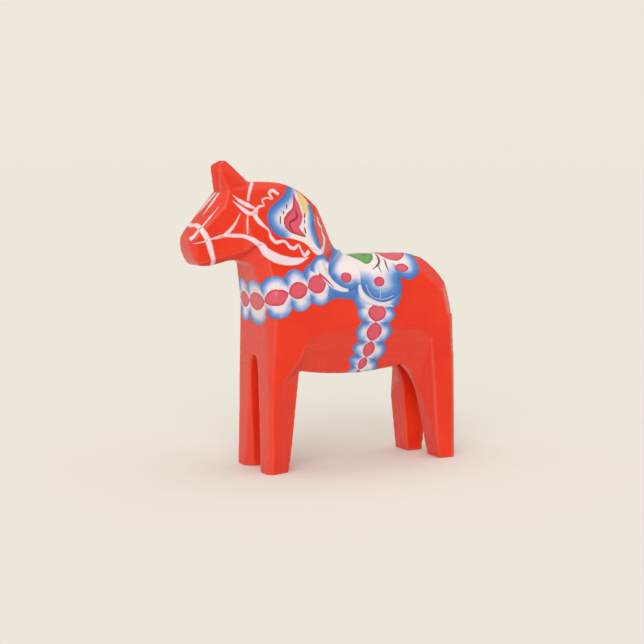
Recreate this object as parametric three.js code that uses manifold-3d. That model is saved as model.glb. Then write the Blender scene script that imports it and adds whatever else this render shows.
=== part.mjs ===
// A painted dala horse, 300 mm to the ear tips, carved from a block of glued pine pieces.
// Millimetres, +Z up, the head towards -X and the horse's left side towards -Y.
//
// The block: a core board along the middle carries four leg boards and two flank boards, face glued
// to its sides. The leg boards step in under the core, so each leg has a shoulder that the core sits
// on. The neck and head are one piece on a slanted joint with two dowels, and the ears are two small
// pieces glued on the poll. The whole horse is carved first, and then parted into those pieces.

import * as THREE from 'three';
import { ConvexGeometry } from 'three/addons/geometries/ConvexGeometry.js';
import { mergeVertices } from 'three/addons/utils/BufferGeometryUtils.js';
import Module from 'manifold-3d';

const wasm = await Module();
wasm.setup();

// ---- Driving dimensions ----

const HALF_WIDTH = 38;            // half the width of the body
const BACK_Z = 207;               // top of the back
const CREST_Z = 279;              // top of the neck
const EAR_TIP_Z = 300;            // overall height
const CHEST_X = -67;              // front of the front legs
const CHEST_TOP_Z = 165;          // where the chest bends forward into the throat
const RUMP_X = 139.3;             // back of the haunches

const ELBOW = { x: -30.5, z: 97 };  // where the front leg meets the belly
const STIFLE = { x: 86, z: 97 };  // where the hind leg meets the belly
const BELLY_Z = 91;               // lowest point of the belly
const LEG_GAP_HALF = 9.5;         // half the gap between left and right legs
const LEG_GAP_Z = 112;            // top of that gap at the chest and at the rump

// Hand work: the right hind foot stands ahead of the left one, and the knife took less off its thigh.
// The bend (x, z) rounds the belly into the leg. The belly's hollow ends at hollowEnd, the x on the leg's
// inner side and on its outer side.
const HIND_LEGS = {
  left: { bend: [104, 86], knee: 110, toe: 121, heel: 141.2, hollowEnd: [99, 128] },
  right: { bend: [104, 93], knee: 106, toe: 112, heel: 129.5, hollowEnd: [94, 106] },
};

const CORE_HALF = 20;             // half the thickness of the core board
const SHOULDER_SEAM_X = -28;      // seam between the front leg board and the flank board
const HIP_SEAM_X = 90;            // seam between the flank board and the hind leg board
const NECK_SEAM = { front: { x: -72, z: 168 }, rear: { x: 32, z: 206 } };
const DOWEL = { diameter: 12, length: 60, xs: [-38, -4] };
const GLUE_GAP = 0.3;             // clearance between glued faces

const ARC_STEPS = 10;             // straight steps along each round stretch of an outline
const REACH = 400;                // longer than the horse, for tools that cut right through

const RED_PAINT = { color: 0xd8301f, roughness: 0.32, metalness: 0 };
const BARE_WOOD = { color: 0xd9b27c, roughness: 0.7, metalness: 0 };

// ---- Solids ----

/** A closed three.js geometry as a solid that can be joined and cut. */
function solidOf(geometry) {
  const bare = geometry.clone();
  bare.deleteAttribute('normal');
  bare.deleteAttribute('uv');
  const merged = mergeVertices(bare, 1e-4);
  return new wasm.Manifold(new wasm.Mesh({
    numProp: 3,
    vertProperties: new Float32Array(merged.attributes.position.array),
    triVerts: new Uint32Array(merged.index.array),
  }));
}

/** A solid back as a three.js geometry. */
function geometryOf(solid) {
  const mesh = solid.getMesh();
  const geometry = new THREE.BufferGeometry();
  geometry.setAttribute('position', new THREE.BufferAttribute(mesh.vertProperties, 3));
  geometry.setIndex(new THREE.BufferAttribute(mesh.triVerts, 1));
  geometry.computeVertexNormals();
  return geometry;
}

const VIEWS = {
  side: [[1, 0, 0], [0, 0, 1], [0, -1, 0]],   // outline in X and Z, cut through along Y
  front: [[0, 1, 0], [0, 0, 1], [1, 0, 0]],   // outline in Y and Z, cut through along X
  plan: [[1, 0, 0], [0, 1, 0], [0, 0, 1]],    // outline in X and Y, cut through along Z
};

/** A bar whose section is the outline seen in one of the views. */
function prism(outline, view) {
  const geometry = new THREE.ExtrudeGeometry(outline, {
    depth: 2 * REACH,
    bevelEnabled: false,
    curveSegments: ARC_STEPS,
  });
  geometry.translate(0, 0, -REACH);
  const axes = VIEWS[view].map((axis) => new THREE.Vector3(...axis));
  geometry.applyMatrix4(new THREE.Matrix4().makeBasis(...axes));
  return solidOf(geometry);
}

/** A box between two corners. */
function box([x0, y0, z0], [x1, y1, z1]) {
  const geometry = new THREE.BoxGeometry(x1 - x0, y1 - y0, z1 - z0);
  geometry.translate((x0 + x1) / 2, (y0 + y1) / 2, (z0 + z1) / 2);
  return solidOf(geometry);
}

/** Everything on the side of a plane that its normal points to. */
function beyond(point, normal) {
  const geometry = new THREE.BoxGeometry(3 * REACH, 3 * REACH, REACH);
  geometry.translate(0, 0, REACH / 2);
  const turn = new THREE.Quaternion().setFromUnitVectors(
    new THREE.Vector3(0, 0, 1),
    new THREE.Vector3(...normal).normalize(),
  );
  geometry.applyQuaternion(turn);
  geometry.translate(...point);
  return solidOf(geometry);
}

/** The convex solid around a list of points. */
function hull(points) {
  return solidOf(new ConvexGeometry(points.map((point) => new THREE.Vector3(...point))));
}

/** A front-view outline, alike on both sides of the middle, from its right half. */
function bothSides(rightHalf) {
  const leftHalf = rightHalf.map(([y, z]) => [-y, z]).reverse();
  return new THREE.Shape([...rightHalf, ...leftHalf].map((point) => new THREE.Vector2(...point)));
}

/** The same solid on the other side of the middle. */
function mirrored(solid) {
  return solid.mirror([0, 1, 0]);
}

/**
 * Takes a straight edge off the right side, size wide on both of its faces. The edge runs
 * anticlockwise round the outline, as the side view shows it.
 */
function bevel(solid, from, to, size) {
  const a = new THREE.Vector3(...from);
  const b = new THREE.Vector3(...to);
  const along = b.clone().sub(a).normalize();
  const sideways = new THREE.Vector3(0, 1, 0).addScaledVector(along, -along.y).normalize();
  const outward = new THREE.Vector3().crossVectors(sideways, along);
  const depth = 30;
  const blade = new THREE.BoxGeometry(depth, 5 * size, a.distanceTo(b) + size);
  blade.translate(depth / 2 - size / Math.SQRT2, 0, 0);
  blade.rotateZ(Math.PI / 4);
  blade.applyMatrix4(new THREE.Matrix4().makeBasis(outward, sideways, along));
  blade.translate(...a.add(b).multiplyScalar(0.5));
  return solid.subtract(solidOf(blade));
}

// ---- The carved horse ----

/** Trunk and legs from the side, with one of the hind legs. */
function bodyOutline({ bend, knee, toe, heel }) {
  const s = new THREE.Shape();
  s.moveTo(CHEST_X - 2, 0);
  s.lineTo(-45, 0);
  s.lineTo(ELBOW.x, ELBOW.z);
  s.quadraticCurveTo(30, 2 * BELLY_Z - ELBOW.z, STIFLE.x, STIFLE.z);
  s.quadraticCurveTo(...bend, knee, 55);
  s.lineTo(toe, 0);
  s.lineTo(heel, 0);
  s.lineTo(RUMP_X, 110);
  s.lineTo(RUMP_X - 1, 145);
  s.bezierCurveTo(137, 181, 119, BACK_Z, 86, BACK_Z);
  s.lineTo(-30, BACK_Z);
  s.lineTo(CHEST_X, CHEST_TOP_Z);
  s.lineTo(CHEST_X, 60);
  return s;
}

/** Neck and head from the side. */
function neckOutline() {
  const s = new THREE.Shape();
  s.moveTo(38, 200);
  s.lineTo(31, BACK_Z - 0.5);
  s.bezierCurveTo(14, 207, 10, 231, -1, 250);
  s.bezierCurveTo(-12, 268, -30, CREST_Z, -60, CREST_Z);
  s.lineTo(-71, CREST_Z);
  s.lineTo(-101, 272);
  s.lineTo(-133, 235);
  s.bezierCurveTo(-140.5, 227, -139, 213, -128, 201);
  s.lineTo(-116, 200.5);
  s.lineTo(-98, 205);
  s.quadraticCurveTo(-79, 206, -75.5, 199);
  s.lineTo(CHEST_X, CHEST_TOP_Z);
  s.lineTo(CHEST_X, 142);
  s.lineTo(-20, 142);
  return s;
}

// Planes that the gaps between left and right legs run up to, sloping down to the belly.
const FRONT_ROOF = { point: [CHEST_X, 0, LEG_GAP_Z], down: [-15, 0, -34] };
const HIND_ROOF = { point: [RUMP_X, 0, LEG_GAP_Z], down: [15, 0, -53] };

/** The gap between left and right legs, wider at the ground, up to one of the roof planes. */
function legGap(roof, legSide) {
  const section = bothSides([
    [LEG_GAP_HALF + 3, -10], [LEG_GAP_HALF + 3, 0], [LEG_GAP_HALF, 95], [7, 107], [3, LEG_GAP_Z + 1],
  ]);
  return prism(section, 'front')
    .intersect(beyond(roof.point, roof.down))
    .intersect(beyond([0, 0, 0], [legSide, 0, 0]));
}

/** The hollow in the right side, from the back of the front leg to the front of the hind leg. */
function bellyHollow({ hollowEnd: [innerEnd, outerEnd] }) {
  const rim = [[-30, 122], [-16, 132], [18, 136.5], [45, 137], [75, 135.5], [95, 133], [110, 126]];
  const outer = HALF_WIDTH + 20;
  return hull([
    ...rim.map(([x, z]) => [x, HALF_WIDTH, z]),
    ...rim.map(([x, z]) => [x, outer, z]),
    [-45, -14, -10], [-45, outer, -10],
    [innerEnd, -14, -10], [outerEnd, outer, -10],
  ]);
}

/** The knife cut that thins the right front leg towards the back. */
function frontLegTaper() {
  const straight = beyond([-58, HALF_WIDTH, 72], [0.3, 0.95, -0.02]);
  const sweep = beyond([-53, HALF_WIDTH, 88], [20, 35, -16]);
  const behindSeam = beyond([SHOULDER_SEAM_X - 2, 0, 0], [1, 0, 0]);
  return straight.intersect(sweep).subtract(behindSeam);
}

/** The cut under the jaw, and from the throat down the chest until it fades out in the front leg. */
function throatFacet() {
  const head = beyond([-131, 15, 202], [-0.11, -0.65, 0.75]);
  return beyond([-74, 22, 195], [-1, 1, 0.052]).subtract(head);
}

/** The cut along the inner front edge of the right front leg, fading out below the chest. */
function innerLegEdge() {
  const aboveLeg = beyond([0, 0, 95], [0, 0, 1]);
  return beyond([CHEST_X - 2, LEG_GAP_HALF + 10, 0], [-1, -1, -0.08]).subtract(aboveLeg);
}

/** The right half of the trunk, a little past the middle, with its two legs. */
function carveTrunkHalf(hindLeg) {
  let half = prism(bodyOutline(hindLeg), 'side').subtract(beyond([0, -1, 0], [0, -1, 0]));
  half = half.intersect(prism(bothSides([
    [HALF_WIDTH, -10], [HALF_WIDTH, 172], [34, 189], [25, 200], [12, 206], [2, BACK_Z],
  ]), 'front'));
  half = half.subtract(legGap(FRONT_ROOF, -1)).subtract(legGap(HIND_ROOF, 1));
  half = half.subtract(bellyHollow(hindLeg)).subtract(frontLegTaper()).subtract(innerLegEdge());
  half = bevel(half, [CHEST_X, HALF_WIDTH, 150], [CHEST_X - 2, HALF_WIDTH, -10], 4);
  half = bevel(half, [hindLeg.heel, HALF_WIDTH, -10], [RUMP_X, HALF_WIDTH, 120], 5);
  half = bevel(half, [RUMP_X, HALF_WIDTH, 110], [RUMP_X - 2, HALF_WIDTH, 155], 6);
  half = bevel(half, [RUMP_X - 2, HALF_WIDTH, 150], [129, HALF_WIDTH, 182], 9);
  half = bevel(half, [129, HALF_WIDTH - 3, 182], [108, HALF_WIDTH - 8, 202], 10);
  return half;
}

/** The right half of the neck and head. */
function carveNeckHalf() {
  let half = prism(neckOutline(), 'side').subtract(beyond([0, -1, 0], [0, -1, 0]));
  half = half.intersect(prism(bothSides([
    [HALF_WIDTH, 100], [HALF_WIDTH, 172], [30, 210], [21, 252], [15, 272], [9, CREST_Z + 1],
  ]), 'front'));
  const plan = [
    [-150, -2], [-150, 12.5], [-138, 12.5], [-130, 15.5], [-104, 19.5], [-86, 21],
    [-79, 27], [-66, 34.5], [-50, 38], [-16, 38], [6, 28], [20, 15], [34, 3], [38, -2],
  ];
  half = half.intersect(prism(new THREE.Shape(plan.map((p) => new THREE.Vector2(...p))), 'plan'));
  half = bevel(half, [-101, 17, 272], [-136, 14, 232], 5);
  half = bevel(half, [16, 20, 218], [-1, 24, 250], 15);
  half = bevel(half, [-1, 24, 250], [-34, 17, 277], 12);
  return half;
}

/** The right half of the whole horse without its ear. */
function carveHalf(hindLeg) {
  return carveTrunkHalf(hindLeg).add(carveNeckHalf()).subtract(throatFacet());
}

/** The right ear, standing on the poll and leaning forward, its tip close to the other ear's. */
function carveEar() {
  return hull([
    [-102, 2, 264], [-103, 10, 264], [-94, 17, 264], [-70, 13, 270], [-67, 2, 274],
    [-107, 10, 295], [-100, 3, EAR_TIP_Z], [-97, 5, EAR_TIP_Z - 0.4],
  ]).intersect(beyond([-71, 0, CREST_Z + GLUE_GAP], [-7, 0, 30]));
}

// ---- The glued pieces ----

/** The side of the slanted neck joint away from the trunk, or towards it for up = -1. */
function acrossNeckSeam(up) {
  const { front, rear } = NECK_SEAM;
  const run = rear.x - front.x;
  const rise = rear.z - front.z;
  return beyond([front.x, 0, front.z + up * GLUE_GAP / 2], [-up * rise, 0, up * run]);
}

/** A dowel across the neck joint, or the hole for it when it is made wider. */
function neckDowel(x, extra) {
  const { front, rear } = NECK_SEAM;
  const slope = Math.atan2(rear.z - front.z, rear.x - front.x);
  const radius = DOWEL.diameter / 2 + extra;
  const geometry = new THREE.CylinderGeometry(radius, radius, DOWEL.length + 2 * extra, 24);
  geometry.rotateX(Math.PI / 2);
  geometry.rotateY(-slope);
  geometry.translate(x, 0, front.z + (x - front.x) * Math.tan(slope));
  return solidOf(geometry);
}

/** The space below a leg gap's roof plane, a little lower or higher for the glue gap. */
function belowRoof(roof, rise) {
  const [x, y, z] = roof.point;
  return beyond([x, y, z + rise], roof.down);
}

/** The part of a side board's layer between two seams, on the right or the left. */
function sideLayer(side, x0, x1) {
  const inner = side * (CORE_HALF + GLUE_GAP / 2);
  const outer = side * REACH;
  return box([x0, Math.min(inner, outer), -REACH], [x1, Math.max(inner, outer), REACH]);
}

/** A leg's board: its side layer, and its shoulder stepping in under the core. */
function legBoard(trunk, side, roof, x0, x1) {
  const half = beyond([0, 0, 0], [0, side, 0]);
  const legEnd = box([x0, -REACH, -REACH], [x1, REACH, REACH]);
  const shoulder = belowRoof(roof, -GLUE_GAP / 2).intersect(half).intersect(legEnd);
  return trunk.intersect(sideLayer(side, x0, x1).add(shoulder));
}

/** All the pieces, by name, as solids. */
function partPieces() {
  const holes = DOWEL.xs.map((x) => neckDowel(x, GLUE_GAP));
  let horse = carveHalf(HIND_LEGS.right).add(mirrored(carveHalf(HIND_LEGS.left)));
  for (const hole of holes) {
    horse = horse.subtract(hole);
  }
  const trunk = horse.intersect(acrossNeckSeam(-1));
  const core = box([-REACH, -CORE_HALF + GLUE_GAP / 2, -REACH], [REACH, CORE_HALF - GLUE_GAP / 2, REACH])
    .subtract(belowRoof(FRONT_ROOF, GLUE_GAP / 2))
    .subtract(belowRoof(HIND_ROOF, GLUE_GAP / 2));
  const pieces = {
    neck_and_head: horse.intersect(acrossNeckSeam(1)),
    trunk_core: trunk.intersect(core),
  };
  const halfGap = GLUE_GAP / 2;
  for (const [name, side] of [['left', -1], ['right', 1]]) {
    pieces[`${name}_front_leg`] = legBoard(trunk, side, FRONT_ROOF, -REACH, SHOULDER_SEAM_X - halfGap);
    pieces[`${name}_hind_leg`] = legBoard(trunk, side, HIND_ROOF, HIP_SEAM_X + halfGap, REACH);
    pieces[`${name}_flank`] = trunk.intersect(
      sideLayer(side, SHOULDER_SEAM_X + halfGap, HIP_SEAM_X - halfGap),
    );
    const ear = carveEar();
    pieces[`${name}_ear`] = side > 0 ? ear : mirrored(ear);
  }
  pieces.front_neck_dowel = neckDowel(DOWEL.xs[0], 0);
  pieces.rear_neck_dowel = neckDowel(DOWEL.xs[1], 0);
  return pieces;
}

const group = new THREE.Group();
for (const [name, solid] of Object.entries(partPieces())) {
  const finish = name.endsWith('dowel') ? BARE_WOOD : RED_PAINT;
  const mesh = new THREE.Mesh(geometryOf(solid), new THREE.MeshStandardMaterial(finish));
  mesh.name = name;
  group.add(mesh);
}

// The origin is on the ground, under the middle of the horse's length.
const bounds = new THREE.Box3().setFromObject(group);
group.position.x = -(bounds.min.x + bounds.max.x) / 2;

export default group;
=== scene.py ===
"""A carved and painted wooden horse: one soft-edged skin over the CAD frame, cut back into the
CAD's own boards at their glue joints, with the ornaments laid on as thin strokes of paint."""

import math

import bmesh
import bpy
import numpy as np
from mathutils import Matrix, Vector
from mathutils.bvhtree import BVHTree
from mathutils.kdtree import KDTree


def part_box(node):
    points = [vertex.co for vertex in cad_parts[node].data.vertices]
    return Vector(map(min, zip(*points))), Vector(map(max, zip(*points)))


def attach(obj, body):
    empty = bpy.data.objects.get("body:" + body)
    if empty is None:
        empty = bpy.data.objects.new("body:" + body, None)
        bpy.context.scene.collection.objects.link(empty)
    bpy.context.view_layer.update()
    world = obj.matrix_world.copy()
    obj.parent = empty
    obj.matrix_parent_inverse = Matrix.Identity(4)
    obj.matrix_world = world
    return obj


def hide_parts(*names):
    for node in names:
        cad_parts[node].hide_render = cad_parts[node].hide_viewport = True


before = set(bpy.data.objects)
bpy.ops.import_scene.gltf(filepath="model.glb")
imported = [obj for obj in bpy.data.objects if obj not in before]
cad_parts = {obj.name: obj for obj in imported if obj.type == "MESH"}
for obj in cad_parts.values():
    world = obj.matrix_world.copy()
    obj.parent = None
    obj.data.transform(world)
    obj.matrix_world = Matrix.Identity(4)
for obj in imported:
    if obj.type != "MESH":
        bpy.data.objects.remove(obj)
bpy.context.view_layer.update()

MM = 0.001

# The upright joints, read from the CAD boxes.
FLANK_LOW, FLANK_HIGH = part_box("left_flank")
SHOULDER_SEAM_X = FLANK_LOW.x
HIP_SEAM_X = FLANK_HIGH.x
CORE_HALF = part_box("trunk_core")[1].y
# The slanted joints, as a point and a direction in millimetres: ears on poll, neck on trunk, and the
# leg boards' shoulders under the core.
EAR_SEAM = ((-72.8, 0, 280), (-7, 0, 30))
NECK_SEAM = ((-73.8, 0, 168), (-38, 0, 104))
FRONT_ROOF = ((-68.8, 0, 112), (-15, 0, -34))
HIND_ROOF = ((137.5, 0, 112), (15, 0, -53))

VOXEL = 1.1 * MM            # grain of the skin's mesh
GLUE_OVERLAP = 0.25 * MM    # how far each board swells, so that the boards join into one skin
SOFTENING_STEPS = 6         # passes of smoothing that round the knife cuts
SHARP_BULGE = 0.06 * MM     # how far a vertex stands out of its neighbours on a sharp edge
HALF_SPACE_SIZE = 0.8       # edge of the blocks that cut the skin, larger than the horse
ON_SEAM = 0.005 * MM        # how near a face lies to a joint's plane when it is a glued face

BOARDS = [
    "neck_and_head", "trunk_core", "left_front_leg", "right_front_leg",
    "left_hind_leg", "right_hind_leg", "left_flank", "right_flank",
]
DOWELS = ["front_neck_dowel", "rear_neck_dowel"]
EARS = ["left_ear", "right_ear"]


def linked(name, mesh):
    """A new object in the scene with that mesh."""
    piece = bpy.data.objects.new(name, mesh)
    bpy.context.scene.collection.objects.link(piece)
    return piece


def baked(piece):
    """The mesh that a piece's modifiers give, after which the piece is removed."""
    depsgraph = bpy.context.evaluated_depsgraph_get()
    mesh = bpy.data.meshes.new_from_object(piece.evaluated_get(depsgraph))
    bpy.data.objects.remove(piece)
    return mesh


# ---------------------------------------------------------------- the carved skin


def swollen_copy(nodes, swell):
    """One mesh with the CAD nodes in it, each a little larger, so that glued faces overlap."""
    together = bmesh.new()
    for node in nodes:
        solid = bmesh.new()
        solid.from_mesh(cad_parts[node].data)
        bmesh.ops.remove_doubles(solid, verts=solid.verts, dist=0.01 * MM)
        bmesh.ops.recalc_face_normals(solid, faces=solid.faces)
        solid.normal_update()
        moves = [(v, v.normal * swell) for v in solid.verts]
        for vertex, move in moves:
            vertex.co += move
        part = bpy.data.meshes.new(node + "_swollen")
        solid.to_mesh(part)
        solid.free()
        together.from_mesh(part)
        bpy.data.meshes.remove(part)
    mesh = bpy.data.meshes.new("swollen")
    together.to_mesh(mesh)
    together.free()
    return mesh


def carved_skin():
    """The whole horse as one even skin, with the knife-cut edges sanded round."""
    block = linked("skin", swollen_copy(BOARDS + DOWELS + EARS, GLUE_OVERLAP))
    remesh = block.modifiers.new("skin", "REMESH")
    remesh.mode = "VOXEL"
    remesh.voxel_size = VOXEL
    remesh.use_smooth_shade = True
    sand = block.modifiers.new("sand", "SMOOTH")
    sand.factor = 0.5
    sand.iterations = SOFTENING_STEPS
    return baked(block)


def vertex_points(mesh):
    values = np.zeros(len(mesh.vertices) * 3, np.float32)
    mesh.vertices.foreach_get("co", values)
    return values.reshape(-1, 3).astype(float)


def vertex_normals(mesh):
    values = np.zeros(len(mesh.vertices) * 3, np.float32)
    mesh.vertex_normals.foreach_get("vector", values)
    return values.reshape(-1, 3).astype(float)


def edge_sharpness(mesh):
    """How far each vertex stands out of its neighbours' mean, from -1 in a hollow to 1 on an edge."""
    co = vertex_points(mesh)
    normals = vertex_normals(mesh)
    ends = np.zeros(len(mesh.edges) * 2, np.int32)
    mesh.edges.foreach_get("vertices", ends)
    ends = ends.reshape(-1, 2)
    total = np.zeros_like(co)
    count = np.zeros(len(co))
    for a, b in ((0, 1), (1, 0)):
        np.add.at(total, ends[:, a], co[ends[:, b]])
        np.add.at(count, ends[:, a], 1)
    bulge = ((co - total / count[:, None]) * normals).sum(1)
    for _ in range(3):
        spread = np.zeros(len(co))
        for a, b in ((0, 1), (1, 0)):
            np.add.at(spread, ends[:, a], bulge[ends[:, b]])
        bulge = 0.5 * bulge + 0.5 * spread / count
    return np.clip(bulge / SHARP_BULGE, -1, 1)


def half_space(point, normal):
    """A block that fills everything on the side of a plane that its normal points to."""
    direction = Vector(normal).normalized()
    block = bmesh.new()
    bmesh.ops.create_cube(block, size=HALF_SPACE_SIZE)
    block.transform(Matrix.Translation((0, 0, HALF_SPACE_SIZE / 2)))
    block.transform(direction.to_track_quat("Z", "Y").to_matrix().to_4x4())
    block.transform(Matrix.Translation(Vector(point)))
    mesh = bpy.data.meshes.new("half_space")
    block.to_mesh(mesh)
    block.free()
    return mesh


def without(mesh, cutters):
    """The mesh with each cutter taken away from it."""
    piece = linked("being_cut", mesh)
    helpers = []
    for cutter in cutters:
        helper = linked("cutter", cutter)
        helpers.append(helper)
        cut = piece.modifiers.new("cut", "BOOLEAN")
        cut.operation = "DIFFERENCE"
        cut.solver = "MANIFOLD"
        cut.object = helper
    result = baked(piece)
    for helper in helpers:
        bpy.data.objects.remove(helper)
    return result


def as_plane(seam, outward=1):
    """A joint's point in metres and its direction, turned round where outward is -1."""
    point, direction = seam
    return Vector(point) * MM, Vector(direction) * outward


def beyond(*planes):
    return [half_space(point, normal) for point, normal in planes]


SKIN = carved_skin()
SKIN_POINTS = vertex_points(SKIN)
SKIN_NORMALS = vertex_normals(SKIN)
SKIN_SHARPNESS = edge_sharpness(SKIN)
SKIN_FACES = [tuple(polygon.vertices) for polygon in SKIN.polygons]
SKIN_BVH = BVHTree.FromPolygons([tuple(point) for point in SKIN_POINTS], SKIN_FACES)


def nearest_vertices(mesh, source_points):
    """For each vertex of the mesh, the number of the source point nearest to it."""
    tree = KDTree(len(source_points))
    for index, point in enumerate(source_points):
        tree.insert(point, index)
    tree.balance()
    return np.array([tree.find(v.co)[1] for v in mesh.vertices])


def finished_board(node, mesh, planes, materials):
    """A board of the horse. Its painted faces shade like the whole skin, and its glued faces stay flat and
    bare. The first of the two materials is the paint, and the second is the wood."""
    nearest = nearest_vertices(mesh, SKIN_POINTS)
    normals = SKIN_NORMALS[nearest]
    sharpness = mesh.attributes.new("sharpness", "FLOAT", "POINT")
    sharpness.data.foreach_set("value", SKIN_SHARPNESS[nearest].astype(np.float32))
    loop_normals = np.zeros((len(mesh.loops), 3))
    for polygon in mesh.polygons:
        glued = any(
            abs(polygon.normal.dot(normal)) > 0.99999
            and abs((polygon.center - point).dot(normal)) < ON_SEAM
            for point, normal in planes
        )
        polygon.use_smooth = True
        polygon.material_index = 1 if glued else 0
        for loop in polygon.loop_indices:
            vertex = mesh.loops[loop].vertex_index
            loop_normals[loop] = polygon.normal if glued else normals[vertex]
    mesh.materials.clear()
    for material in materials:
        mesh.materials.append(material)
    mesh.normals_split_custom_set([tuple(n) for n in loop_normals])
    board = linked(node + "_painted", mesh)
    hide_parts(node)
    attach(board, "root")
    return board


def cut_boards(materials):
    """The skin cut at the glue joints, one closed piece for each of the CAD's boards."""
    above_neck_seam = as_plane(NECK_SEAM)
    below_neck_seam = as_plane(NECK_SEAM, -1)
    above_ear_seam = as_plane(EAR_SEAM)
    below_ear_seam = as_plane(EAR_SEAM, -1)
    behind_shoulder = ((SHOULDER_SEAM_X, 0, 0), (1, 0, 0))
    before_shoulder = ((SHOULDER_SEAM_X, 0, 0), (-1, 0, 0))
    behind_hip = ((HIP_SEAM_X, 0, 0), (1, 0, 0))
    before_hip = ((HIP_SEAM_X, 0, 0), (-1, 0, 0))
    right_of_middle = ((0, 0, 0), (0, 1, 0))
    right_of_core = ((0, CORE_HALF, 0), (0, 1, 0))
    left_of_core = ((0, -CORE_HALF, 0), (0, -1, 0))
    front_roof = as_plane(FRONT_ROOF)
    hind_roof = as_plane(HIND_ROOF)

    def core_cutters():
        front_lap = without(half_space(*front_roof), beyond(behind_shoulder))
        hind_lap = without(half_space(*hind_roof), beyond(before_hip))
        return beyond(right_of_core, left_of_core) + [front_lap, hind_lap]

    def core_cell():
        below_ground = (0, 0, -0.1)
        return without(half_space(below_ground, (0, 0, 1)), core_cutters())

    seams = [
        (Vector(point), Vector(normal).normalized())
        for point, normal in (
            above_neck_seam, above_ear_seam, right_of_middle, left_of_core, right_of_core,
            behind_shoulder, behind_hip, front_roof, hind_roof,
        )
    ]
    trunk = without(SKIN.copy(), beyond(above_neck_seam))
    boards = {
        "neck_and_head": without(SKIN.copy(), beyond(below_neck_seam, above_ear_seam)),
        "trunk_core": without(trunk.copy(), core_cutters()),
    }
    for side, sign in (("left", -1), ("right", 1)):
        far_half = ((0, 0, 0), (0, -sign, 0))
        inside_lap = ((0, sign * CORE_HALF, 0), (0, -sign, 0))
        boards[side + "_front_leg"] = without(
            trunk.copy(), beyond(far_half, behind_shoulder) + [core_cell()]
        )
        boards[side + "_hind_leg"] = without(
            trunk.copy(), beyond(far_half, before_hip) + [core_cell()]
        )
        boards[side + "_flank"] = without(
            trunk.copy(), beyond(inside_lap, before_shoulder, behind_hip)
        )
        boards[side + "_ear"] = without(SKIN.copy(), beyond(far_half, below_ear_seam))
    for node, mesh in boards.items():
        finished_board(node, mesh, seams, materials)


# ---------------------------------------------------------------- materials


def node(tree, kind, inputs=None, **settings):
    """A shader node with its settings made and its inputs given or linked."""
    made = tree.nodes.new("ShaderNode" + kind)
    for name, value in settings.items():
        setattr(made, name, value)
    for key, value in (inputs or {}).items():
        if isinstance(value, bpy.types.NodeSocket):
            tree.links.new(value, made.inputs[key])
        else:
            made.inputs[key].default_value = value
    return made


def ramp(tree, factor, stops):
    """A colour ramp through (place, colour) stops."""
    made = node(tree, "ValToRGB", {"Fac": factor})
    elements = made.color_ramp.elements
    while len(elements) < len(stops):
        elements.new(0.5)
    for element, (place, colour) in zip(elements, stops):
        element.position = place
        element.color = (*colour, 1)
    return made.outputs["Color"]


def new_material(name):
    material = bpy.data.materials.new(name)
    material.use_nodes = True
    tree = material.node_tree
    return material, tree, tree.nodes["Principled BSDF"]


def noise(tree, coordinates, scale, stretch=(1, 1, 1), detail=3.0):
    """Noise at that many waves a metre, stretched by the mapping."""
    placed = node(tree, "Mapping", {"Vector": coordinates, "Scale": stretch})
    made = node(tree, "TexNoise", {"Vector": placed.outputs[0], "Scale": scale, "Detail": detail})
    return made.outputs["Fac"]


def maths(tree, operation, a, b=0.0, c=0.0):
    return node(tree, "Math", {0: a, 1: b, 2: c}, operation=operation).outputs[0]


def remap(tree, value, low, high, to_low, to_high):
    made = node(
        tree, "MapRange",
        {"Value": value, "From Min": low, "From Max": high, "To Min": to_low, "To Max": to_high},
    )
    return made.outputs["Result"]


def mixed(tree, factor, a, b):
    made = node(tree, "Mix", data_type="RGBA")
    for key, value in ((0, factor), (6, a), (7, b)):
        if isinstance(value, bpy.types.NodeSocket):
            tree.links.new(value, made.inputs[key])
        else:
            made.inputs[key].default_value = value if key == 0 else (*value, 1)
    return made.outputs[2]


BELLY_Z = 0.09      # below this the brush went down the legs
LEG_TOP_Z = 0.12    # above this it went along the body

RED_DEEP = (0.74, 0.028, 0.009)
RED_BRIGHT = (0.84, 0.044, 0.013)
# Painted sheen: the paler, pinker red given to facets that turn away from the flat sides.
RED_FACET_SHEEN = (0.76, 0.060, 0.036)
RED_THIN = (0.82, 0.110, 0.070)


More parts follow.
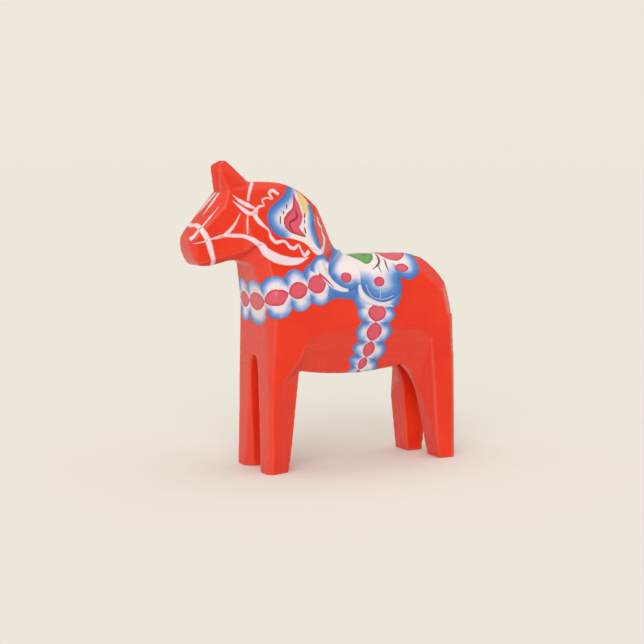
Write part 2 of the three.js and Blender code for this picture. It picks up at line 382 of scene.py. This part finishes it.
def red_lacquer():
    """Glossy red paint brushed along the body and down the legs. The facets that turn away from the flat
    sides
    carry a painted sheen: a paler, pinker red in place of the pale room's reflection. It is thinner and
    paler where the knife left an edge."""
    material, tree, shader = new_material("red_lacquer")
    place = node(tree, "TexCoord").outputs["Object"]
    height = node(tree, "SeparateXYZ", {0: place}).outputs["Z"]
    in_body = remap(tree, height, BELLY_Z, LEG_TOP_Z, 0, 1)
    along = noise(tree, place, 1, (16, 190, 190), 2)
    down = noise(tree, place, 1, (190, 190, 14), 2)
    streaks = node(tree, "Mix", {0: in_body, 2: down, 3: along}).outputs[0]
    clouds = noise(tree, place, 22)
    ripples = noise(tree, place, 75, detail=0)
    colour = mixed(tree, remap(tree, clouds, 0.3, 0.7, 0, 1), RED_DEEP, RED_BRIGHT)
    # Painted sheen: the further the surface turns from facing sideways, the more of the paler, pinker red
    # it gets, in place of the pale room's reflection.
    out = node(tree, "NewGeometry").outputs["Normal"]
    sideways = maths(tree, "ABSOLUTE", node(tree, "SeparateXYZ", {0: out}).outputs["Y"])
    turned = remap(tree, sideways, 0.93, 0.975, 1, 0)
    facet_sheen = maths(tree, "MULTIPLY", turned, remap(tree, streaks, 0.35, 0.6, 0.7, 1))
    colour = mixed(tree, facet_sheen, colour, RED_FACET_SHEEN)
    sharpness = node(tree, "Attribute", attribute_name="sharpness").outputs["Fac"]
    rubbed = remap(tree, sharpness, 0.25, 1, 0, 0.6)
    worn = maths(tree, "MULTIPLY", rubbed, remap(tree, streaks, 0.35, 0.65, 0.3, 1))
    colour = mixed(tree, worn, colour, RED_THIN)
    bump_height = maths(tree, "MULTIPLY_ADD", streaks, 0.16, ripples)
    bump = node(tree, "Bump", {"Strength": 0.3, "Distance": 0.6 * MM, "Height": bump_height})
    tree.links.new(colour, shader.inputs["Base Color"])
    tree.links.new(remap(tree, streaks, 0.3, 0.7, 0.20, 0.32), shader.inputs["Roughness"])
    tree.links.new(bump.outputs[0], shader.inputs["Normal"])
    shader.inputs["Specular IOR Level"].default_value = 0.18
    shader.inputs["Coat Weight"].default_value = 0.12
    shader.inputs["Coat Roughness"].default_value = 0.08
    return material


def wood(name, pale, dark, rings):
    """Bare wood with its grain along the horse. The rings are waves of grain a metre along X, Y and Z."""
    material, tree, shader = new_material(name)
    place = node(tree, "TexCoord").outputs["Object"]
    grain = noise(tree, place, 1, rings, 5)
    pores = noise(tree, place, 1, (400, 2400, 2400), 2)
    tone = maths(tree, "MULTIPLY_ADD", grain, 0.8, maths(tree, "MULTIPLY", pores, 0.2))
    tree.links.new(ramp(tree, tone, [(0.35, dark), (0.62, pale)]), shader.inputs["Base Color"])
    bump = node(tree, "Bump", {"Strength": 0.3, "Distance": 0.2 * MM, "Height": tone})
    tree.links.new(bump.outputs[0], shader.inputs["Normal"])
    tree.links.new(remap(tree, tone, 0.3, 0.7, 0.75, 0.55), shader.inputs["Roughness"])
    return material


def artist_paint(name, stops, wobble=0.25, roughness=(0.28, 0.45)):
    """Thick brush paint. Its colour runs through the stops with the fade attribute, 0 at a stroke's loaded
    edge and 1 inside. The wobble says how much bristles and patches break that up."""
    material, tree, shader = new_material(name)
    stroke = node(tree, "UVMap", uv_map="stroke").outputs[0]
    place = node(tree, "TexCoord").outputs["Object"]
    fade = node(tree, "Attribute", attribute_name="fade").outputs["Fac"]
    bristles = noise(tree, stroke, 1, (0.10, 1.6, 1), 3)
    patches = noise(tree, place, 70)
    pull = maths(tree, "MULTIPLY", maths(tree, "SUBTRACT", bristles, 0.5), wobble)
    shift = maths(tree, "MULTIPLY", maths(tree, "SUBTRACT", patches, 0.5), wobble)
    mixed_fade = maths(tree, "ADD", maths(tree, "ADD", fade, pull), shift)
    tree.links.new(ramp(tree, mixed_fade, stops), shader.inputs["Base Color"])
    bump = node(tree, "Bump", {"Strength": 0.35, "Distance": 0.15 * MM, "Height": bristles})
    tree.links.new(bump.outputs[0], shader.inputs["Normal"])
    tree.links.new(remap(tree, bristles, 0.3, 0.7, *roughness), shader.inputs["Roughness"])
    shader.inputs["Coat Weight"].default_value = 0.2
    shader.inputs["Coat Roughness"].default_value = 0.15
    return material


BLUE = (0.045, 0.160, 0.500)
MID_BLUE = (0.095, 0.260, 0.620)
PALE_BLUE = (0.400, 0.500, 0.780)
WHITE = (0.790, 0.710, 0.820)
WARM_WHITE = (0.820, 0.740, 0.770)
DARK_PINK = (0.300, 0.018, 0.040)

RED = red_lacquer()
PINE = wood("bare_pine", (0.72, 0.50, 0.27), (0.52, 0.30, 0.13), (14, 160, 160))
BEECH = wood("bare_beech", (0.60, 0.38, 0.22), (0.40, 0.22, 0.11), (30, 300, 300))
BLUE_TO_WHITE = artist_paint(
    "blue_to_white",
    [(0.10, BLUE), (0.38, MID_BLUE), (0.62, PALE_BLUE), (0.85, WHITE), (1.0, WARM_WHITE)],
)
BRIDLE_WHITE = artist_paint(
    "bridle_white",
    [(0.0, (0.82, 0.30, 0.28)), (0.3, (0.82, 0.53, 0.58)), (0.9, (0.82, 0.69, 0.77))], 0.6,
)
CREAM_WHITE = artist_paint("cream_white", [(0.0, PALE_BLUE), (0.4, WHITE), (1.0, WARM_WHITE)], 0.5)
PINK = artist_paint(
    "pink", [(0.0, (0.42, 0.03, 0.06)), (0.35, (0.64, 0.048, 0.09)), (0.9, (0.70, 0.085, 0.140))], 0.9
)
CRIMSON = artist_paint("crimson", [(0.0, (0.50, 0.045, 0.08)), (0.6, DARK_PINK)], 0.6)
GREEN = artist_paint(
    "green", [(0.0, (0.05, 0.22, 0.04)), (0.5, (0.09, 0.31, 0.05)), (1.0, (0.13, 0.36, 0.07))], 0.5
)
YELLOW = artist_paint(
    "yellow", [(0.0, (0.78, 0.55, 0.20)), (0.7, (0.82, 0.56, 0.15)), (1.0, (0.84, 0.62, 0.25))]
)
DARK = artist_paint("dark", [(0.0, (0.16, 0.07, 0.09)), (1.0, (0.045, 0.030, 0.045))])


# ---------------------------------------------------------------- brush strokes

# All in millimetres.
GRID = 1.0           # spacing of a ribbon's points
STROKE_GRID = 0.8    # spacing of a stroke's points
LAYER = 0.11         # thickness of one layer of paint
RIM = 0.02           # height of a stroke's rim above the layer below
SUNK = 0.35          # depth of a stroke's underside in the wood
FINEST = 0.3         # the least width of a stroke
LINE_FADE = 1.6      # from pink to white across the bridle's lines
OUTSIDE = 90         # a distance that is outside the horse from anywhere in it


def on_skin(point):
    """The skin's nearest place to a point, and the way out of it, in millimetres."""
    location, _, face, _ = SKIN_BVH.find_nearest(Vector(point) * MM)
    normal = SKIN_NORMALS[list(SKIN_FACES[face])].mean(0)
    return np.array(location) / MM, normal / np.linalg.norm(normal)


def thrown(point, hub):
    """Where the way out through a point leaves the skin, from the lengthwise line at the height hub."""
    start = Vector((point[0], 0, hub))
    way = (Vector(point) - start).normalized()
    hit = SKIN_BVH.ray_cast((start + way * OUTSIDE) * MM, -way)[0]
    return np.array(hit) / MM


def near_side(*places):
    """Points of the left side, given by where they are from the side: x and z in millimetres."""
    found = []
    for x, z in places:
        hit = SKIN_BVH.ray_cast(Vector((x, -OUTSIDE, z)) * MM, Vector((0, 1, 0)))[0]
        found.append(tuple(hit / MM))
    return found


def walked(line):
    """How far along the line each of its points is."""
    return np.concatenate([[0], np.cumsum(np.linalg.norm(np.diff(line, axis=0), axis=1))])


def places_along(line, distances):
    """The places on the line at those distances along it."""
    lengths = walked(line)
    return np.array([np.interp(distances, lengths, line[:, k]) for k in range(3)]).T


def evenly(line, count):
    """The same line as that many points, evenly spaced."""
    return places_along(line, np.linspace(0, walked(line)[-1], count))


def smooth_curve(points):
    """Many points on a Catmull-Rom curve through the given ones."""
    given = np.array(points, float)
    padded = np.vstack([2 * given[0] - given[1], given, 2 * given[-1] - given[-2]])
    fine = []
    for a, b, c, d in zip(padded, padded[1:], padded[2:], padded[3:]):
        square, cube = 2 * a - 5 * b + 4 * c - d, 3 * b - a - 3 * c + d
        for t in np.linspace(0, 1, 24, endpoint=False):
            fine.append(0.5 * (2 * b + (c - a) * t + square * t**2 + cube * t**3))
    return np.array(fine + [given[-1]])


def spline(points, count):
    """That many evenly spaced points along a smooth curve through the given ones."""
    return evenly(smooth_curve(points), count)


def spaced_spline(points, spacing):
    """Points about that far apart along a smooth curve through the given ones."""
    curve = smooth_curve(points)
    return evenly(curve, max(4, int(walked(curve)[-1] / spacing) + 1))


def draped(line):
    """A line laid on the skin. Where it cut a corner, its points are spread again over the corner."""
    for _ in range(3):
        line = evenly(np.array([on_skin(point)[0] for point in line]), len(line))
    return line


def rows_between(a, b, count):
    """For each pair of points on two lines, a row of that many places from one to the other."""
    steps = np.linspace(0, 1, count)[None, :, None]
    return a[:, None] * (1 - steps) + b[:, None] * steps


def distance_to(points, line):
    """The distance from each point to a line through the given ones."""
    best = np.full(len(points), 1e9)
    for a, b in zip(line, line[1:]):
        along = b - a
        t = np.clip(((points - a) @ along) / max(along @ along, 1e-12), 0, 1)
        best = np.minimum(best, np.linalg.norm(points - a - t[:, None] * along, axis=1))
    return best


class Painting:
    """A group of strokes that becomes one piece of the model. Layer 1 lies on the red ground coat."""

    def __init__(self, name):
        self.name = name
        self.vertices = []
        self.faces = []
        self.face_materials = []
        self.fades = []
        self.uvs = []
        self.materials = []

    def patch(
        self, grid, material, layer, fade_lines, fade_width, sides=(1, -1), hub=None, lean=0.0
    ):
        """A closed skin of paint over a grid of places, on the left side for 1 and mirrored on the right
        for -1. With a hub, the places are thrown outwards from the lengthwise line at that height. The
        lean adds to the fade along the stroke."""
        if hub is not None:
            grid = np.array([[thrown(point, hub) for point in row] for row in grid])
        grid = np.array([draped(row) for row in grid])
        for sign in sides:
            turned = grid * np.array([1, sign, 1])
            lines = [np.array(line) * np.array([1, sign, 1]) for line in fade_lines]
            leaning = np.linspace(0, lean, len(grid))
            if sign == -1:
                turned, leaning = turned[::-1], leaning[::-1]
            self.one_side(turned, material, layer, lines, fade_width, leaning)

    def one_side(self, grid, material, layer, lines, fade_width, leaning):
        """The paint over one grid: a top, an underside in the wood, and a wall round the rim."""
        rows, columns = grid.shape[:2]
        if material not in self.materials:
            self.materials.append(material)
        slot = self.materials.index(material)
        flat = grid.reshape(-1, 3)
        snapped = [on_skin(point) for point in flat]
        base = np.array([location for location, _ in snapped])
        out = np.array([normal for _, normal in snapped])
        fade = np.minimum.reduce([distance_to(base, line) for line in lines]) / fade_width
        fade = fade + np.repeat(leaning, columns)
        rim = np.zeros((rows, columns), bool)
        rim[0, :] = rim[-1, :] = rim[:, 0] = rim[:, -1] = True
        lift = np.where(rim.ravel(), (layer - 1) * LAYER + RIM, layer * LAYER)
        top = base + out * lift[:, None]
        bottom = base - out * SUNK
        start = len(self.vertices)
        self.vertices.extend(top.tolist() + bottom.tolist())
        self.fades.extend(list(fade) * 2)
        across = np.linalg.norm(np.diff(grid, axis=1), axis=2).mean()
        along = np.linalg.norm(np.diff(grid, axis=0), axis=2).mean()
        uv = [(i * along, j * across) for i in range(rows) for j in range(columns)]
        self.uvs.extend(uv * 2)
        under = rows * columns

        def corner(i, j):
            return start + i * columns + j

        quads = []
        for i in range(rows - 1):
            for j in range(columns - 1):
                quad = (corner(i, j), corner(i, j + 1), corner(i + 1, j + 1), corner(i + 1, j))
                quads.append(quad)
                quads.append(tuple(v + under for v in reversed(quad)))
        ring = [corner(i, 0) for i in range(rows)]
        ring += [corner(rows - 1, j) for j in range(1, columns)]
        ring += [corner(i, columns - 1) for i in range(rows - 2, -1, -1)]
        ring += [corner(0, j) for j in range(columns - 2, 0, -1)]
        for a, b in zip(ring, ring[1:] + ring[:1]):
            quads.append((a, b, b + under, a + under))
        self.faces.extend(quads)
        self.face_materials.extend([slot] * len(quads))

    def ribbon(
        self, outer, inner, material, layer, fade_width, spurs=(), loaded=(0, 1), **options
    ):
        """Paint between two edges. Its fade starts at the outer one, between two shares of its length, and
        at any spurs, more lines where the fade starts."""
        length = walked(spline(outer, 40))[-1]
        count = max(5, int(length / GRID) + 1)
        a, b = spline(outer, count), spline(inner, count)
        width = np.linalg.norm(a - b, axis=1).max()
        grid = rows_between(a, b, max(4, int(width / GRID) + 1))
        first, last = (round(share * len(a)) for share in loaded)
        self.patch(grid, material, layer, [a[first:last], *spurs], fade_width, **options)

    def stroke(self, path, widths, material, layer, fade_width=2.0, **options):
        """One pull of the brush along a path. The widths are spread evenly over its length."""
        centre = draped(spaced_spline(path, STROKE_GRID))
        width = np.interp(np.linspace(0, 1, len(centre)), np.linspace(0, 1, len(widths)), widths)
        edges = [[], []]
        for i, point in enumerate(centre):
            place, normal = on_skin(point)
            ahead = centre[min(i + 1, len(centre) - 1)] - centre[max(i - 1, 0)]
            side = np.cross(normal, ahead)
            side = side / np.linalg.norm(side) * max(width[i], FINEST) / 2
            edges[0].append(place + side)
            edges[1].append(place - side)
        a, b = np.array(edges[0]), np.array(edges[1])
        grid = rows_between(a, b, max(5, int(max(widths) / STROKE_GRID) + 1))
        self.patch(grid, material, layer, [a, b], fade_width, **options)

    def oval(self, tip, other_tip, width, material, layer, point=0.55, fade_width=3.0, **options):
        """A petal between two tips: an ellipse where point is 0.5, more lemon-like above that."""
        t = np.linspace(0, 1, 15)
        ends = np.array(tip, float), np.array(other_tip, float)
        path = [ends[0] * (1 - k) + ends[1] * k for k in t]
        widths = width * (4 * t * (1 - t)) ** point
        self.stroke(path, list(widths), material, layer, fade_width, **options)

    def finish(self):
        """The strokes as one mesh object, riding on the horse."""
        mesh = bpy.data.meshes.new(self.name)
        mesh.from_pydata([tuple(c * MM for c in v) for v in self.vertices], [], self.faces)
        mesh.attributes.new("fade", "FLOAT", "POINT").data.foreach_set("value", self.fades)
        uv = mesh.uv_layers.new(name="stroke")
        for loop in mesh.loops:
            uv.data[loop.index].uv = self.uvs[loop.vertex_index]
        for material in self.materials:
            mesh.materials.append(material)
        for polygon, index in zip(mesh.polygons, self.face_materials):
            polygon.material_index = index
            polygon.use_smooth = True
        mesh.update()
        piece = linked(self.name, mesh)
        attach(piece, "root")


CUSP = 0.68            # how far out two scallops meet, as a share of their reach
ROUNDNESS = 0.7        # a scallop's arc is a sine to this power: less is squarer
SCALLOP_FADE = 11.0    # from blue to white, in millimetres
SPUR = 0.15            # how far the blue runs in between two scallops, as a share of their reach
SCALLOP_LEAN = 0.3     # how much whiter a scallop's end is than its start
OVAL_GAP = 0.2         # bare line left at each tip of an oval, in millimetres
LEMON = 0.72           # how pointed those ovals are


def scalloped_band(painting, path, cells, oval_widths, reaches, sides=(1, -1)):
    """A chain of ovals with a blue-edged scallop above and below each one. The cells are the ovals'
    lengths, and the reaches are how far the scallops stand out at the path's start and at its end."""
    line = spaced_spline(path, 0.5)
    total = walked(line)[-1]

    def at(distance):
        place, normal = on_skin(places_along(line, distance))
        before, after = places_along(line, np.array([max(distance - 2, 0), min(distance + 2, total)]))
        side = np.cross(normal, after - before)
        return place, side / np.linalg.norm(side)

    start = 0.0
    scale = total / sum(cells)
    for cell, oval_width in zip(cells, oval_widths):
        end = start + cell * scale
        size = reaches[0] + (reaches[1] - reaches[0]) * (start + end) / 2 / total
        for sign in (1, -1):
            outer, inner = [], []
            for t in np.linspace(0, 1, 17):
                place, side = at(start + (end - start) * t)
                arc = CUSP + (1 - CUSP) * math.sin(math.pi * t) ** ROUNDNESS
                outer.append(place + side * sign * size * arc)
                inner.append(place)
            spurs = [np.array([outer[k], outer[k] + (inner[k] - outer[k]) * SPUR]) for k in (0, -1)]
            painting.ribbon(
                outer, inner, BLUE_TO_WHITE, 1, SCALLOP_FADE, spurs, sides=sides, lean=SCALLOP_LEAN
            )
        first, last = at(start + OVAL_GAP)[0], at(end - OVAL_GAP)[0]
        painting.oval(first, last, oval_width, PINK, 3, LEMON, sides=sides)
        start = end


def paint_breast_band():
    """Round the chest. The two front ovals differ in length, as the first stroke began off the middle."""
    band = Painting("breast_band_paint")
    front = [(-70, 28, 166), (-71, 18, 165), (-71, 8, 164), (-71, -10, 164), (-70, -28, 166)]
    scalloped_band(band, front, (20, 36), (16, 18), (22, 22), sides=(1,))
    shoulder = [
        (-69, -28, 166), (-60, -35, 170), (-49, -38, 174), (-29, -37, 178), (-18, -37, 181), (-8, -35, 184),
    ]
    scalloped_band(band, shoulder, (24, 21, 21), (16, 16.5, 18), (21, 21))
    band.finish()


def paint_girth_band():
    """Down the side from the saddle and under the belly, where the two sides' bands meet."""
    band = Painting("girth_band_paint")
    path = [
        (48, -38, 160), (46, -38, 150), (44, -37, 131), (42, -31, 114), (37, -24, 98), (31, -14, 91),
        (29, 0, 90),
    ]
    scalloped_band(band, path, (17.5, 19.5, 17, 14, 22), (20, 16.5, 13, 9.5, 12), (22, 16))
    band.finish()


SADDLE_HUB = 150    # height of the line that the saddle's petals are thrown outwards from


def paint_saddle():
    """Three petals over the ridge, with the leaves, crescents and arches round them."""
    saddle = Painting("saddle_paint")
    # The arch and the blue ground between the breast band and the first petal.
    saddle.ribbon(
        [(-24, -33, 194), (-22, -32, 202), (-16, -31, 208), (-9, -30, 209), (-2, -25, 205)],
        [(-8, -35, 184), (-6, -34, 188), (-4, -33, 191), (-3, -32, 195), (0, -28, 199)],
        BLUE_TO_WHITE, 2, 8, hub=SADDLE_HUB,
    )
    saddle.ribbon(
        [(-10, -38, 163), (2, -38, 167), (10, -38, 166), (19, -38, 165), (27, -38, 160)],
        [(-3, -33, 190), (0, -35, 184), (9, -37, 177), (19, -38, 174), (29, -37, 179)],
        BLUE_TO_WHITE, 1, 34,
    )
    # The yoke, where the girth band hangs from the second petal.
    right_edge = spline([(74, -38, 174), (74, -38, 168), (72, -38, 162), (69, -38, 156)], 12)
    saddle.ribbon(
        [(22, -38, 176), (20, -38, 168), (21, -38, 162), (25, -38, 156)], right_edge,
        BLUE_TO_WHITE, 2, 13, [right_edge],
    )
    # Three petals that hang from the ridge.
    saddle.ribbon(
        [(14, -4, 210), (9, -14, 208), (0, -25, 201), (-4, -31, 192), (0, -35, 184), (8, -37, 177),
         (18, -38, 174), (29, -37, 179)],
        [(14, 0, 210), (25, 0, 207), (35, 0, 207)],
        BLUE_TO_WHITE, 3, 13, loaded=(0, 0.93), hub=SADDLE_HUB,
    )
    saddle.ribbon(
        [(29, -37, 179), (33, -38, 170), (43, -38, 163), (54, -38, 161), (65, -38, 164), (73, -38, 171),
         (75, -37, 178), (70, -34, 187)],
        [(35, 0, 207), (52, 0, 207), (70, 0, 207)],
        BLUE_TO_WHITE, 3, 23, loaded=(0.06, 0.9), hub=SADDLE_HUB,
    )
    saddle.ribbon(
        [(70, -34, 187), (77, -35, 183), (85, -36, 182), (93, -35, 185), (97, -32, 191), (98, -25, 199),
         (99, -15, 205), (99, -5, 206)],
        [(70, 0, 207), (84, 0, 207), (97, 0, 206)],
        BLUE_TO_WHITE, 3, 14, hub=SADDLE_HUB,
    )
    # White crescents under the first two petals, with a pink line on the first.
    saddle.stroke(
        [(-13, -32, 203), (-10, -34, 192), (-3, -36, 182), (6, -37, 176), (15, -38, 174)],
        (6, 9, 8, 6, 3), CREAM_WHITE, 4, 3,
    )
    saddle.stroke([(-15, -34, 191), (-7, -35, 184), (0, -37, 177)], (2.5, 2, 0.5), PINK, 5)
    saddle.stroke(
        [(28, -37, 179), (29, -38, 171), (36, -38, 164), (47, -38, 160), (57, -38, 158.5), (65, -38, 156)],
        (3, 6.5, 7, 4.5, 4, 1), CREAM_WHITE, 4, 3,
    )
    # The thin lines on the second petal.
    for path in (
        [(35, -36, 179), (37, -38, 172), (43, -38, 166), (54, -38, 164), (65, -38, 167)],
        [(50, -37, 175), (50, -38, 165)],
    ):
        saddle.stroke(path, (0.8, 0.8), CREAM_WHITE, 4)
    saddle.stroke(
        [(54, -27, 198), (53, -31, 193), (54, -33, 189)], (0.6, 1.6, 0.6), BLUE_TO_WHITE, 4, 4
    )
    # Pink dots and leaf, green leaf, and the dark lines between the leaves.
    saddle.oval((8, -34, 187), (20, -35, 186), 11, PINK, 4, 0.5)
    saddle.oval((44, -35, 181), (56, -35, 181), 10, PINK, 4, 0.5)
    saddle.oval((71, -31, 194), (86, -30, 193), 10, PINK, 4, 0.62)
    saddle.ribbon(
        [(62, -2, 207), (63, -14, 205), (68, -22, 201), (76, -25, 200), (85, -20, 203), (92, -12, 206)],
        [(62, -1, 207), (72, -5, 207), (82, -6, 207), (92, -10, 206)],
        PINK, 4, 4, hub=SADDLE_HUB,
    )
    saddle.ribbon(
        [(27, -11, 206), (33, -19, 203), (38, -26, 199), (45, -26, 199), (52, -19, 203), (56, -9, 206)],
        [(27, -10, 206), (38, -4, 207), (48, -3, 207), (56, -8, 206)],
        GREEN, 4, 4, hub=SADDLE_HUB,
    )
    saddle.oval((44, -13, 206), (50, -9, 206), 3, DARK, 5, 0.5)
    saddle.stroke(
        [(60, -9, 206), (58, -19, 203), (55, -26, 199), (50, -29, 195), (45, -31, 193)],
        (1, 2, 2.5, 2, 0.5), DARK, 4,
    )
    saddle.stroke([(63, -21, 202), (62, -28, 197), (62, -33, 190)], (1, 2, 0.5), DARK, 4)
    saddle.finish()


def paint_mane_flower():
    """A two-lobed flower on the neck: blue and white ground, pink and yellow petals, dark ticks."""
    mane = Painting("mane_flower_paint")
    mane.ribbon(
        near_side((-36, 274), (-46, 265), (-57, 257), (-63, 250), (-64, 242), (-60, 233), (-52, 227),
                  (-40, 225), (-28, 221), (-19, 214), (-10, 211)),
        near_side((-32, 274), (-23, 268), (-16, 261), (-14, 250), (-15, 235), (-13, 224), (-9, 212)),
        BLUE_TO_WHITE, 1, 14, loaded=(0, 0.6),
    )
    mane.ribbon(
        near_side((-12, 258), (-14, 249), (-15, 237), (-13, 225), (-9, 213)),
        near_side((-19, 256), (-23, 247), (-24, 238), (-22, 227), (-13, 215)),
        BLUE_TO_WHITE, 2, 9, loaded=(0, 0.9),
    )
    mane.ribbon(
        near_side((-32, 268), (-35, 260), (-37, 254), (-43, 249), (-47, 243), (-46, 236), (-41, 231),
                  (-33, 228), (-26, 226)),
        near_side((-31, 268), (-29.5, 260), (-28, 252), (-26.5, 246), (-29, 239), (-31, 235), (-25, 227)),
        PINK, 2, 4,
    )
    mane.ribbon(
        near_side((-26, 269), (-26.5, 261), (-26, 253), (-25, 244)),
        near_side((-23, 269), (-16, 261), (-18, 254), (-24.5, 244)),
        YELLOW, 2, 4,
    )
    mane.stroke(
        near_side((-34, 253), (-33, 246), (-37, 242.5), (-41, 240.5), (-41, 236), (-37, 230)),
        (1, 3, 3, 2.2, 2, 1), CRIMSON, 3, 1.2,
    )
    for start, end in (
        ((-42, 258), (-43, 253)), ((-46, 252), (-47, 248)), ((-50, 247), (-51, 239)),
        ((-24, 249), (-25, 244)), ((-25, 243), (-25, 239)), ((-26, 236), (-25, 229)),
    ):
        mane.oval(*near_side(start, end), 1.4, DARK, 3)
    mane.finish()


def paint_bridle():
    """The white lines of the bridle and the forelock, and the wavy ribbons along the neck."""
    bridle = Painting("bridle_paint")

    def over(path, widths, layer=1, fade_width=2.0):
        bridle.stroke(path, widths, BRIDLE_WHITE, layer, fade_width)

    def line(places, widths):
        over(near_side(*places), widths, fade_width=LINE_FADE)

    # Blaze, eye line and nostril.
    over([(-105, -4, 269), (-113, -6, 260), (-123, -7, 248)], (4.5, 6, 1))
    line([(-111, 256), (-119, 247), (-127, 238)], (0.6, 2, 2))
    line([(-127, 238), (-131, 234), (-135, 229), (-139, 226)], (1.5, 3, 3, 5))
    for x, z in ((-114, 254), (-120, 249)):
        bridle.oval(*near_side((x - 0.6, z - 1), (x + 0.6, z + 1)), 1.6, CRIMSON, 1)
    # Noseband, over the bridge of the nose and round under the jaw.
    over(
        [(-133, 0, 239), (-131, -8, 239), (-128, -14, 235), (-123, -17, 226), (-120, -17, 216),
         (-117, -14, 206), (-117, 0, 204)],
        (5, 5, 6, 6, 5, 5, 5),
    )
    line([(-137, 222), (-130, 223), (-122, 225)], (0.6, 1.5, 2))
    # Cheek line that widens into the sweep under the neck, and its branch.
    line(
        [(-120, 226), (-108, 229), (-98, 229), (-87, 228), (-78, 223), (-68, 213), (-58, 207), (-46, 204),
         (-35, 204), (-24, 207)],
        (1.5, 3, 4, 4, 6, 9, 10, 9, 7, 0.5),
    )
    line([(-116, 226), (-106, 230), (-97, 239), (-91, 250)], (1, 4, 3, 1))
    # Headband over the poll, and the short line under it.
    over([(-71, 0, 279), (-73, -8, 279), (-79, -15, 270), (-82, -18, 261)], (3.5, 3.5, 3.5, 2.5))
    line([(-84, 248), (-85, 239), (-85, 230)], (1.5, 2, 1.5))
    # Forelock leaves.
    line([(-97, 267), (-91, 262), (-85, 258.5), (-75, 254)], (0.8, 4, 5, 2))
    line([(-98, 262), (-91, 256), (-83, 250), (-77, 250), (-73, 252)], (0.6, 3, 5, 4, 2))
    # Wavy ribbons along the neck, and behind the mane flower.
    line(
        [(-76, 252), (-71, 256), (-66, 257), (-67, 262), (-62, 264), (-56, 263), (-59, 268), (-55, 271),
         (-49, 267)],
        (3, 3, 2, 2, 2, 2, 3, 4, 3),
    )
    line(
        [(-75, 253), (-76, 247), (-71, 240), (-64, 234), (-62, 227), (-57, 222), (-50, 223), (-46, 221),
         (-43, 217), (-38, 216), (-34, 219), (-31, 213), (-28, 209), (-23, 213)],
        (5, 5, 5, 3, 2, 4, 4, 3, 3, 4, 3, 2, 4, 4),
    )
    over(
        [(-7, -15, 245), (-8, -17, 239), (-3, -15, 234), (-4, -17, 229), (-1, -17, 224), (-5, -24, 216),
         (-13, -30, 211), (-22, -29, 216)],
        (3, 5, 2, 6, 3.5, 6, 5, 1.5), layer=2, fade_width=LINE_FADE,
    )
    bridle.finish()


# ---------------------------------------------------------------- the dowels


def finish_dowels():
    """The dowels keep the CAD's own shape, in bare beech."""
    for name in DOWELS:
        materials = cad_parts[name].data.materials
        materials.clear()
        materials.append(BEECH)


# ---------------------------------------------------------------- floor, light and camera

FLOOR_RADIUS = 40    # metres, so that its edge lies at the horizon
CREAM = (0.855, 0.807, 0.716)
FLOOR_PAINT = (0.812, 0.806, 0.796)
# How bright the room is, by the sine of the height above the horizon: dim walls and a soft light overhead.
ROOM_BRIGHTNESS = [(0.0, 1.0), (0.12, 1.0), (0.34, 0.5), (0.7, 0.5), (0.9, 1.8)]
BRIGHTEST = 2.0


def lay_floor():
    floor_mesh = bpy.data.meshes.new("floor")
    disc = bmesh.new()
    bmesh.ops.create_circle(disc, cap_ends=True, segments=96, radius=FLOOR_RADIUS)
    disc.to_mesh(floor_mesh)
    disc.free()
    floor = linked("floor", floor_mesh)
    material, tree, shader = new_material("pale_floor")
    shader.inputs["Base Color"].default_value = (*FLOOR_PAINT, 1)
    shader.inputs["Roughness"].default_value = 0.9
    shader.inputs["Specular IOR Level"].default_value = 0.0
    floor_mesh.materials.append(material)


def light_room():
    """A cream room all round, and one large soft lamp from behind the viewer's left shoulder."""
    scene = bpy.context.scene
    scene.view_settings.view_transform = "Standard"
    world = bpy.data.worlds.new("studio")
    scene.world = world
    world.use_nodes = True
    tree = world.node_tree
    background = tree.nodes["Background"]
    background.inputs["Color"].default_value = (*CREAM, 1)
    direction = node(tree, "TexCoord").outputs["Generated"]
    height = node(tree, "SeparateXYZ", {0: direction}).outputs["Z"]
    stops = [(place, (level / BRIGHTEST,) * 3) for place, level in ROOM_BRIGHTNESS]
    strength = maths(tree, "MULTIPLY", ramp(tree, height, stops), BRIGHTEST)
    tree.links.new(strength, background.inputs["Strength"])

    key = bpy.data.lights.new("key", "SUN")
    key.energy = 1.25
    key.angle = math.radians(45)
    key.color = (1.0, 0.98, 0.95)
    lamp = bpy.data.objects.new("key", key)
    lamp.rotation_euler = Vector((0.5, 0.75, -0.5)).to_track_quat("-Z", "Y").to_euler()
    scene.collection.objects.link(lamp)


AZIMUTH = math.radians(-27.5)
ELEVATION = math.radians(5.4)
DISTANCE = 1.5675
AIM = Vector((0.0316, 0, 0.15675))


def place_camera():
    """The viewing angle: a little above the back, from the left and somewhat in front."""
    back = Vector((
        math.sin(AZIMUTH) * math.cos(ELEVATION),
        -math.cos(AZIMUTH) * math.cos(ELEVATION),
        math.sin(ELEVATION),
    ))
    data = bpy.data.cameras.new("camera")
    data.lens = 88.0
    data.sensor_width = 36
    data.shift_x = -0.0365
    data.shift_y = -0.0276
    data.clip_end = 100
    view = bpy.data.objects.new("camera", data)
    view.location = AIM + back * DISTANCE
    view.rotation_euler = (-back).to_track_quat("-Z", "Y").to_euler()
    bpy.context.scene.collection.objects.link(view)
    bpy.context.scene.camera = view


cut_boards([RED, PINE])
finish_dowels()
paint_bridle()
paint_mane_flower()
paint_breast_band()
paint_saddle()
paint_girth_band()
bpy.data.meshes.remove(SKIN)
lay_floor()
light_room()
place_camera()
